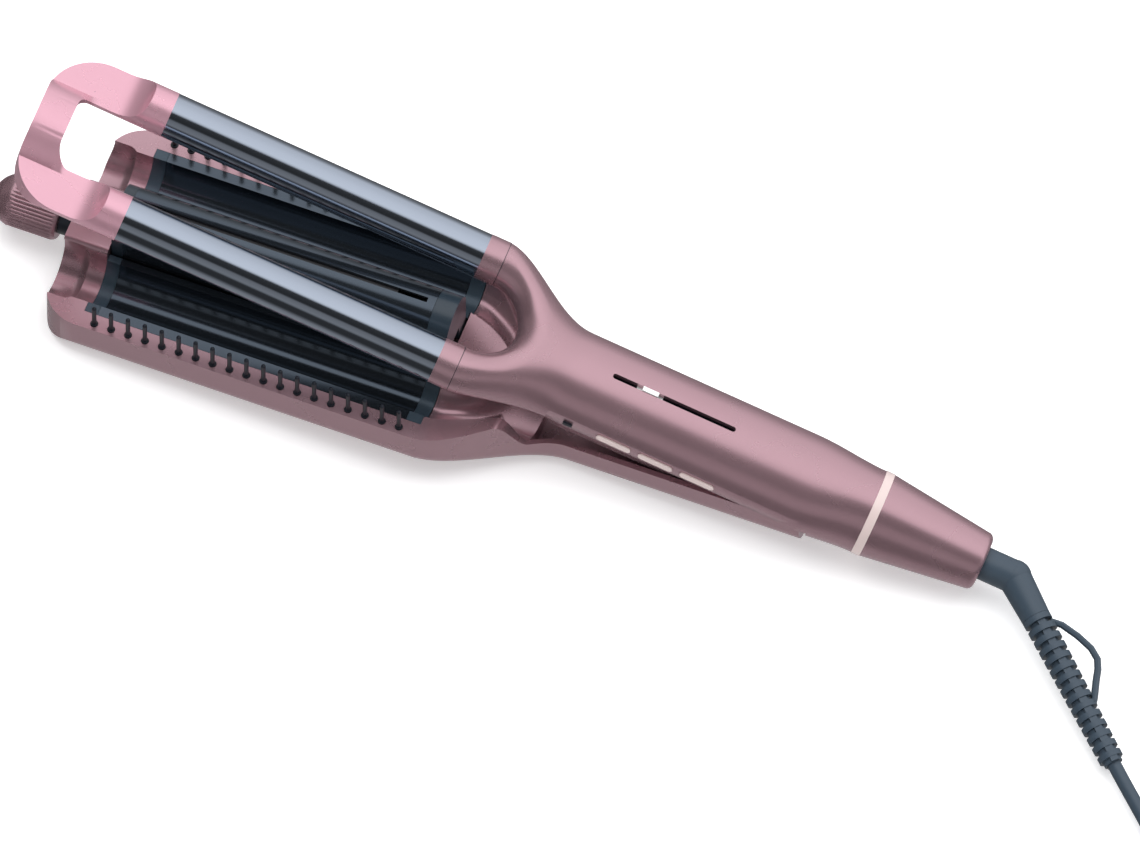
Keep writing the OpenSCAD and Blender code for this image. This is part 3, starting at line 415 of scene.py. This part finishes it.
def build_lower_shell():
    xs = [mix(NECK_X0, NECK_X1, i / 90) for i in range(91)] + [-60, -40, -20, -2, LEVER_END]
    rings = [tray_ring(x) for x in xs]
    size = len(rings[0])
    faces = ring_faces(len(rings), size)
    last = (len(rings) - 1) * size
    half = size // 2
    for base in (0, last):
        for j in range(half - 1):
            faces.append((base + j, base + j + 1, base + size - 2 - j, base + size - 1 - j))
    shell = mesh_object("lever_shell_smooth", [p for ring in rings for p in ring], faces, LOWER)
    stand_for(shell, "lower_shell", "lower_arm")


# ---- the neck's cradle: its floor follows the underside of the forked shell ----

SEAT_R = 9.0
CRADLE_TOP = -1.0
CRADLE_LOW = -16.0
CRADLE_RUN = 22.0
CRADLE_END = FORK_X + 34
CRADLE_SINK = 0.6
CRADLE_STEPS = 120
CRADLE_COLUMNS = 161


def cradle_z(x, y):
    """Just under the shell, and up to a ridge where the crotch leaves room between the lobes."""
    under = shell_z(x) - shell_down(x) * shell_height(x, abs(y)) if abs(y) < shell_w(x) else 0.0
    ridge = mix(CRADLE_TOP, CRADLE_LOW, clamp01((x - NECK_X0) / CRADLE_RUN))
    return min(under - NECK_GAP, ridge)


def build_cradle():
    xs = [mix(NECK_X0 + 0.2, CRADLE_END, i / CRADLE_STEPS) for i in range(CRADLE_STEPS + 1)]
    count = CRADLE_COLUMNS
    verts, faces = [], []
    for x in xs:
        w, depth, corner, wall = neck_section(x)
        half = w - wall + CRADLE_SINK
        floor = -depth + JAW_WALL
        row = [mix(-half, half, j / (count - 1)) for j in range(count)]
        verts += [(x, y, cradle_z(x, y)) for y in row]
        for y in row:
            inset = max(0.0, abs(y) - (w - corner - 1.0))
            verts.append((x, y, floor - CRADLE_SINK + inset))
    stride = 2 * count
    for i in range(len(xs) - 1):
        for j in range(count - 1):
            a = i * stride + j
            faces.append((a, a + 1, a + 1 + stride, a + stride))
            faces.append((a + count, a + count + stride, a + count + stride + 1, a + count + 1))
        for j in (0, count - 1):
            a = i * stride + j
            faces.append((a, a + stride, a + stride + count, a + count))
    for i in (0, len(xs) - 1):
        faces.append(tuple(i * stride + j for j in range(count))
                     + tuple(i * stride + count + j for j in range(count - 1, -1, -1)))
    cradle = mesh_object("neck_cradle_floor", verts, faces, LOWER, smooth=60)
    dress(cradle, "rose_shell")
    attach(cradle, "lower_arm")


WALL_TOP = -HANDLE_DROP - 2.3
WALL_PROFILE = [(13.4, WALL_TOP), (13.4, -25.6), (12.6, -27.2), (11.7, -27.2), (12.2, -25.6), (12.2, WALL_TOP)]
WALL_STATIONS = ((-82.0, 0.9), (-79.0, 1.0), (-74.0, 1.0), (-40.0, 1.0), (-9.6, 1.0))


def build_skirts():
    """Inner walls of the handle that close the gap over the lever, inside the lever's own walls."""
    size, count = len(WALL_PROFILE), len(WALL_STATIONS)
    for name, side in (("near", -1), ("far", 1)):
        verts = []
        for x, share in WALL_STATIONS:
            verts += [(x, side * y, WALL_TOP + (z - WALL_TOP) * share) for y, z in WALL_PROFILE]
        faces = ring_faces(count, size) + [tuple(range(size)), tuple(range((count - 1) * size, count * size))]
        skirt = mesh_object("handle_skirt_" + name, verts, faces, UPPER)
        dress(skirt, "rose_shell")
        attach(skirt, "main_body")


def build_spring():
    """The lever's spring, a copy of the part's mesh riding on the lower arm; in the tool it is pressed together as
    the jaw closes.
    """
    source = nodes["lever_spring"]
    mesh = source.data.copy()
    mesh.transform(source.matrix_world)
    spring = bpy.data.objects.new("lever_spring_wire", mesh)
    bpy.context.collection.objects.link(spring)
    stand_for(spring, "lever_spring", "lower_arm")
    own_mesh(spring)


# ---- the bridge, whose arched strip runs out softly beside the window ----

STRIP_W = 12.0
WINDOW_CORNER = 6.5
BRIDGE_TIP = -BARREL_START - BARREL_LEN - 43.0


def build_bridge():
    source = nodes["tip_bridge"]
    mesh = source.data.copy()
    mesh.transform(UPPER.inverted() @ source.matrix_world)
    shape = bmesh.new()
    shape.from_mesh(mesh)
    for i in range(9):
        x = BRIDGE_TIP + STRIP_W + WINDOW_CORNER * i / 9
        bmesh.ops.bisect_plane(shape, geom=shape.verts[:] + shape.edges[:] + shape.faces[:], dist=1e-5,
                               plane_co=(x, 0, 0), plane_no=(1, 0, 0))
    for vert in shape.verts:
        x, y, z = vert.co
        if z > 0.01 and BRIDGE_TIP + STRIP_W + 0.01 < x < BRIDGE_TIP + STRIP_W + WINDOW_CORNER + 0.1:
            vert.co.z = z * (1 - ease(BRIDGE_TIP + STRIP_W, BRIDGE_TIP + STRIP_W + WINDOW_CORNER, x)) + 0.01
    shape.to_mesh(mesh)
    shape.free()
    mesh.transform(UPPER)
    bridge = bpy.data.objects.new("tip_bridge_smooth", mesh)
    bpy.context.collection.objects.link(bridge)
    mesh.set_sharp_from_angle(angle=math.radians(28))
    stand_for(bridge, "tip_bridge", "main_body")


SEAM_HALF = 0.11
SEAM_POINTS = 64


def build_seams():
    """Thin dark joints where the round collars meet the forked shell."""
    n = SEAM_POINTS
    outer, inner = COLLAR_R + 0.03, COLLAR_R - 0.5
    corners = [(FORK_X - SEAM_HALF, outer), (FORK_X + SEAM_HALF, outer),
               (FORK_X + SEAM_HALF, inner), (FORK_X - SEAM_HALF, inner)]
    turns = [2 * math.pi * j / n for j in range(n)]
    for name, side in (("near", -1), ("far", 1)):
        verts = [(x, side * BARREL_Y + r * math.cos(a), r * math.sin(a)) for x, r in corners for a in turns]
        faces = [(i * n + j, i * n + (j + 1) % n, (i + 1) % 4 * n + (j + 1) % n, (i + 1) % 4 * n + j)
                 for i in range(4) for j in range(n)]
        seam = mesh_object("collar_seam_" + name, verts, faces, UPPER)
        dress(seam, "dark_plastic")
        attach(seam, "main_body")


MARK_X = -75.0
MARK_R = 0.7
MARK_REACH = 1.1
MARK_POINTS = 24


def build_painted_slot_shade():
    """A dark plastic piece ahead of the pale strips, on the near side: painted shade standing in for a small slot.
    """
    n = MARK_POINTS
    y, z = -(HANDLE_W - 0.4), -HANDLE_DROP + 0.3
    turns = [2 * math.pi * (j + 0.5) / n for j in range(n)]
    outline = [(MARK_X + MARK_R * math.cos(a) + math.copysign(MARK_REACH, math.cos(a)), z + MARK_R * math.sin(a))
               for a in turns]
    verts = [(px, py, pz) for py in (y - 0.55, y + 1.0) for px, pz in outline]
    mark = mesh_object("painted_slot_shade", verts, ring_faces(2, n) + [tuple(range(n)), tuple(range(n, 2 * n))], UPPER)
    dress(mark, "dark_plastic")
    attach(mark, "main_body")


# ---- the tip cap, with a bowl under each finger pad ----

CAP_LEN = 16.4
CAP_CORNER = 15.0
BLOCK_TOP = 5.0
BOWL_R = 10.4
BOWL_DEPTH = BOWL_R * 0.62
CROWN_R = 2.5
BUSH_R = 3.45
KNOB_Z = -4.0
JAW_FRONT = -BARREL_START - BARREL_LEN


def cap_blank():
    """The tray's section, drawn along the plan with its two round corners."""
    outline = arc(-JAW_W + JAW_CORNER, -JAW_DEPTH + JAW_CORNER, JAW_CORNER, 180, 270, 16)
    outline += [(-y, z) for y, z in outline[::-1]]
    outline += [(JAW_W, 0.0), (-JAW_W, 0.0)]
    body = prism("cap_body", outline, JAW_FRONT - CAP_LEN, JAW_FRONT, LOWER)
    front = JAW_FRONT - CAP_LEN
    for side in (-1, 1):
        corner = [(front - 2, side * (JAW_W + 2)), (front + CAP_CORNER, side * (JAW_W + 2))]
        corner += [(front + CAP_CORNER - CAP_CORNER * math.sin(a),
                    side * (JAW_W - CAP_CORNER + CAP_CORNER * math.cos(a)))
                   for a in (math.pi / 2 * i / 24 for i in range(25))]
        corner += [(front - 2, side * (JAW_W - CAP_CORNER))]
        n = len(corner)
        verts = [(x, y, z) for z in (-JAW_DEPTH - 3, 3) for x, y in corner]
        faces = ring_faces(2, n) + [tuple(range(n)), tuple(range(n, 2 * n))]
        cut(body, [mesh_object("corner", verts, faces, LOWER)])
    return body


def bowl(side):
    """A round trough from the cap's front that ends in a quarter sphere."""
    end = JAW_FRONT - 3.0
    centre = end - BOWL_DEPTH
    rings = [[(x, side * BARREL_Y + r * math.cos(a), r * math.sin(a))
              for a in (2 * math.pi * j / 48 for j in range(48))]
             for x, r in [(JAW_FRONT - CAP_LEN - 4, BOWL_R), (centre, BOWL_R)]
             + [(centre + BOWL_DEPTH * math.sin(t), BOWL_R * math.cos(t))
                for t in (math.pi / 2 * i / 12 for i in range(1, 12))]]
    faces = ring_faces(len(rings), 48)
    faces += [tuple(range(48)), tuple((len(rings) - 1) * 48 + j for j in range(48))]
    return mesh_object("bowl", [p for ring in rings for p in ring], faces, LOWER)


def build_tip_cap():
    cap = cap_blank()
    half = BARREL_Y - SEAT_R
    crown = arc(half - CROWN_R, BLOCK_TOP - CROWN_R, CROWN_R, 0, 90, 10)
    block = [(half, -3.0)] + crown + [(-y, z) for y, z in crown[::-1]] + [(-half, -3.0)]
    piece = prism("block", block, JAW_FRONT - CAP_LEN, JAW_FRONT, LOWER)
    join = cap.modifiers.new("join", "BOOLEAN")
    join.operation = "UNION"
    join.object = piece
    join.solver = "EXACT"
    mesh = bpy.data.meshes.new_from_object(cap.evaluated_get(bpy.context.evaluated_depsgraph_get()))
    cap.modifiers.clear()
    cap.data = mesh
    bpy.data.objects.remove(piece)
    front, back = JAW_FRONT - CAP_LEN - 1, JAW_FRONT + 1
    seats = [prism("seat", arc(side * BARREL_Y, 0, SEAT_R, 0, 352.5, 47), front, back, LOWER) for side in (-1, 1)]
    bore = prism("bore", arc(0, KNOB_Z, BUSH_R, 0, 345, 23), front, back, LOWER)
    cut(cap, seats + [bowl(-1), bowl(1), bore])
    cap.name = "tip_cap_smooth"
    stand_for(cap, "tip_cap", "lower_arm")


# ---- the knob, with fine ribs and a domed end ----

KNOB_R = 9.8
KNOB_LEN = 26.0
KNOB_BACK = JAW_FRONT - CAP_LEN - 5.4
KNOB_RIBS = 40
RIB_DEPTH = 0.65
SHAFT_BORE_R = 2.05


def build_knob():
    steps = KNOB_RIBS * 8
    tip = KNOB_BACK - KNOB_LEN
    profile = [(tip + KNOB_R * (1 - math.cos(t)), KNOB_R * math.sin(t), 0.0)
               for t in (math.pi / 2 * i / 20 * 0.86 for i in range(21))]
    profile += [(tip + KNOB_R - 1.2, KNOB_R - 0.35, 0.3), (tip + KNOB_R, KNOB_R - 0.3, 1.0),
                (KNOB_BACK - 2.0, KNOB_R - 0.3, 1.0), (KNOB_BACK - 1.4, KNOB_R - 0.4, 0.2),
                (KNOB_BACK - 0.6, KNOB_R - 0.7, 0.0), (KNOB_BACK, KNOB_R - 1.2, 0.0)]
    rings = []
    for x, r, ribbed in profile[1:]:
        ring = []
        for j in range(steps):
            a = 2 * math.pi * j / steps
            groove = RIB_DEPTH * ribbed * (1 - abs(math.cos(KNOB_RIBS * a / 2)) ** 0.7)
            ring.append((x, (r - groove) * math.cos(a), KNOB_Z + (r - groove) * math.sin(a)))
        rings.append(ring)
    verts = [p for ring in rings for p in ring] + [(tip, 0, KNOB_Z)]
    faces = ring_faces(len(rings), steps) + [(len(verts) - 1, (j + 1) % steps, j) for j in range(steps)]
    last = (len(rings) - 1) * steps
    faces.append(tuple(last + j for j in range(steps)))
    knob = mesh_object("depth_knob_ribbed", verts, faces, LOWER, smooth=50)
    shaft = prism("shaft_bore", arc(0, KNOB_Z, SHAFT_BORE_R, 0, 345, 23), KNOB_BACK - 12, KNOB_BACK + 1, LOWER)
    cut(knob, [shaft])
    stand_for(knob, "depth_knob", "knob")


# ---- the cord, on the part's own route ----

ELBOW_BEND = 42.0
CORD_DIP = 5.4
CORD_R = 2.5
CORD_START = 8.0
LEAD_LEN = 146.0
RELIEF_END = 17.1 + 60.0 + 4.0
COIL_R = 41.4
COIL_PITCH = 5.6
COIL_Z = 3.4
LAYER_TURNS = 4
TAIL_END = 78.0
ELBOW_REACH = 12.0
OUT_RUN = 16.0
OUT_R = 40.0
PLUG_T = 13.7


def cord_route():
    bend = UPPER @ Vector((TAIL_END + ELBOW_REACH, 0, -HANDLE_DROP)) / MM
    b, d = math.radians(ELBOW_BEND), math.radians(CORD_DIP)
    along = Vector((math.cos(b) * math.cos(d), -math.sin(b) * math.cos(d), -math.sin(d)))
    aside = Vector((math.sin(b), math.cos(b), 0))
    relief_end_z = (bend + RELIEF_END * along).z
    points = []
    for s in (CORD_START, CORD_START + 2 * CORD_R, 24, 36, 48, 60, 72, 84, 96, 108, LEAD_LEN - 16, LEAD_LEN - 5):
        p = bend + s * along
        if s >= RELIEF_END:
            p.z = mix(relief_end_z, COIL_Z, ease(RELIEF_END - 4, LEAD_LEN - 8, s))
        points.append(p)
    middle = bend + LEAD_LEN * along + COIL_R * aside
    turns = 2 * LAYER_TURNS + 0.5
    start = -90 - ELBOW_BEND
    for i in range(int(turns * 24) + 1):
        u = i / 24
        t = clamp01((u - LAYER_TURNS) / 0.5)
        r = COIL_R - COIL_PITCH * min(LAYER_TURNS, u, turns - u) - 1.6 * math.sin(math.pi * t)
        a = math.radians(start + 360 * u)
        points.append(Vector((middle.x + r * math.cos(a), middle.y + r * math.sin(a), COIL_Z + COIL_PITCH * t)))
    heading = math.radians(start + 90 + 360 * turns)
    run = points[-1] + OUT_RUN * Vector((math.cos(heading), math.sin(heading), 0))
    for i in range(5):
        a = heading + (b - math.pi / 2) * i / 4
        points.append(Vector((run.x - OUT_R * (math.sin(a) - math.sin(heading)),
                              run.y + OUT_R * (math.cos(a) - math.cos(heading)),
                              mix(run.z, PLUG_T / 2, ease(0, 1, i / 4)))))
    back = points[-1] + Vector((0, 10, 0))
    return points + [back, back + Vector((0, 6, 0))]


def build_cord():
    route = [p * MM for p in cord_route()]
    curve = bpy.data.curves.new("mains_cord", "CURVE")
    curve.dimensions = "3D"
    spline = curve.splines.new("POLY")
    spline.points.add(len(route) - 1)
    for point, place in zip(spline.points, route):
        point.co = (*place, 1.0)
    curve.bevel_depth = CORD_R * MM
    curve.bevel_resolution = 6
    curve.use_fill_caps = True
    cord = bpy.data.objects.new("mains_cord", curve)
    bpy.context.collection.objects.link(cord)
    curve.materials.append(MATERIALS["cord_rubber"])
    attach(cord, "swivel")
    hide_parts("cord")


# ---- floor, light and camera ----

def build_floor():
    bpy.ops.mesh.primitive_plane_add(size=12.0, location=(0, 0, -0.0002))
    floor = bpy.context.object
    floor.name = "studio_floor"
    floor.visible_glossy = False
    mat = bpy.data.materials.new("studio_floor")
    mat.use_nodes = True
    shader = mat.node_tree.nodes["Principled BSDF"]
    shader.inputs["Base Color"].default_value = (0.93, 0.93, 0.935, 1.0)
    shader.inputs["Roughness"].default_value = 0.7
    shader.inputs["Emission Color"].default_value = (1.0, 1.0, 1.0, 1.0)
    shader.inputs["Emission Strength"].default_value = 0.38
    floor.data.materials.append(mat)


# brightness round the part's long axis, in degrees from overhead towards the near side
SKY_STOPS = [(-180, 0.42), (-150, 0.4), (-125, 0.12), (-98, 0.3), (-74, 0.92), (-30, 1.12), (0, 1.2), (9, 0.95),
             (16, 0.06), (44, 0.04), (51, 0.26), (74, 0.34), (84, 0.05), (112, 0.05), (135, 0.34), (180, 0.42)]


def build_world():
    """A soft studio: bright from the far side to overhead, darker towards the near side and the tip."""
    world = bpy.data.worlds.new("studio")
    bpy.context.scene.world = world
    world.use_nodes = True
    tree = world.node_tree
    place = tree.nodes.new("ShaderNodeTexCoord")
    split = tree.nodes.new("ShaderNodeSeparateXYZ")
    tree.links.new(place.outputs["Generated"], split.inputs["Vector"])
    near = tree.nodes.new("ShaderNodeMath")
    near.operation = "MULTIPLY"
    near.inputs[1].default_value = -1.0
    tree.links.new(split.outputs["Y"], near.inputs[0])
    angle = tree.nodes.new("ShaderNodeMath")
    angle.operation = "ARCTAN2"
    tree.links.new(near.outputs["Value"], angle.inputs[0])
    tree.links.new(split.outputs["Z"], angle.inputs[1])
    spread = tree.nodes.new("ShaderNodeMapRange")
    spread.inputs["From Min"].default_value = -math.pi
    spread.inputs["From Max"].default_value = math.pi
    tree.links.new(angle.outputs["Value"], spread.inputs["Value"])
    ramp = tree.nodes.new("ShaderNodeValToRGB")
    tree.links.new(spread.outputs["Result"], ramp.inputs["Fac"])
    elements = ramp.color_ramp.elements
    for degrees, value in SKY_STOPS[1:-1]:
        stop = elements.new((degrees + 180) / 360)
        stop.color = (value, value, value * 1.02, 1.0)
    elements[0].color = (SKY_STOPS[0][1],) * 3 + (1.0,)
    elements[len(elements) - 1].color = (SKY_STOPS[-1][1],) * 3 + (1.0,)
    ends = tree.nodes.new("ShaderNodeMapRange")
    ends.interpolation_type = "SMOOTHSTEP"
    ends.inputs["From Min"].default_value = -0.75
    ends.inputs["From Max"].default_value = -0.2
    ends.inputs["To Min"].default_value = 0.1
    ends.inputs["To Max"].default_value = 1.0
    tree.links.new(split.outputs["X"], ends.inputs["Value"])
    dim = tree.nodes.new("ShaderNodeVectorMath")
    dim.operation = "SCALE"
    tree.links.new(ramp.outputs["Color"], dim.inputs[0])
    tree.links.new(ends.outputs["Result"], dim.inputs["Scale"])
    back = tree.nodes["Background"]
    tree.links.new(dim.outputs["Vector"], back.inputs["Color"])
    back.inputs["Strength"].default_value = 1.0


def area_light(name, place, target, size, energy):
    light = bpy.data.lights.new(name, "AREA")
    light.shape = "RECTANGLE"
    light.size, light.size_y = size
    light.energy = energy
    obj = bpy.data.objects.new(name, light)
    bpy.context.collection.objects.link(obj)
    obj.location = place
    obj.rotation_euler = (Vector(target) - Vector(place)).to_track_quat("-Z", "Y").to_euler()
    obj.visible_glossy = False


def build_lights():
    area_light("key_panel", (-0.1, 0.12, 1.5), (0, 0, 0.03), (2.0, 1.4), 24)
    area_light("near_strip", (0.0, -1.1, 0.45), (0, 0, 0.03), (1.2, 0.2), 1.5)


CAM_AZ, CAM_EL, CAM_ROLL = 11.94, 61.96, -10.08
CAM_DISTANCE = 7.68
CAM_OFFSET = (-0.0297, -0.01085)
PHOTO_WIDTH = 1140.0
PHOTO_PX_PER_M = 2860.0 * 0.994


def build_camera():
    az, el, roll = (math.radians(a) for a in (CAM_AZ, CAM_EL, CAM_ROLL))
    back = Vector((math.sin(az) * math.cos(el), -math.cos(az) * math.cos(el), math.sin(el)))
    level = Vector((math.cos(az), math.sin(az), 0))
    down = -back.cross(level)
    right = level * math.cos(roll) + down * math.sin(roll)
    drop = down * math.cos(roll) - level * math.sin(roll)
    place = back * CAM_DISTANCE - right * CAM_OFFSET[0] - drop * CAM_OFFSET[1]
    camera = bpy.data.objects.new("camera", bpy.data.cameras.new("camera"))
    bpy.context.collection.objects.link(camera)
    camera.matrix_world = Matrix.Translation(place) @ Matrix((right, -drop, back)).transposed().to_4x4()
    camera.data.sensor_fit = "HORIZONTAL"
    camera.data.sensor_width = 36.0
    camera.data.lens = PHOTO_PX_PER_M * CAM_DISTANCE / PHOTO_WIDTH * camera.data.sensor_width
    camera.data.clip_start = 0.5
    camera.data.clip_end = 40.0
    bpy.context.scene.camera = camera


dress_cad_nodes()
build_upper_shell()
build_lower_shell()
build_cradle()
build_skirts()
build_spring()
build_bridge()
build_seams()
build_painted_slot_shade()
build_tip_cap()
build_knob()
build_cord()
build_floor()
build_world()
build_lights()
build_camera()
bpy.context.scene.view_settings.view_transform = "Standard"
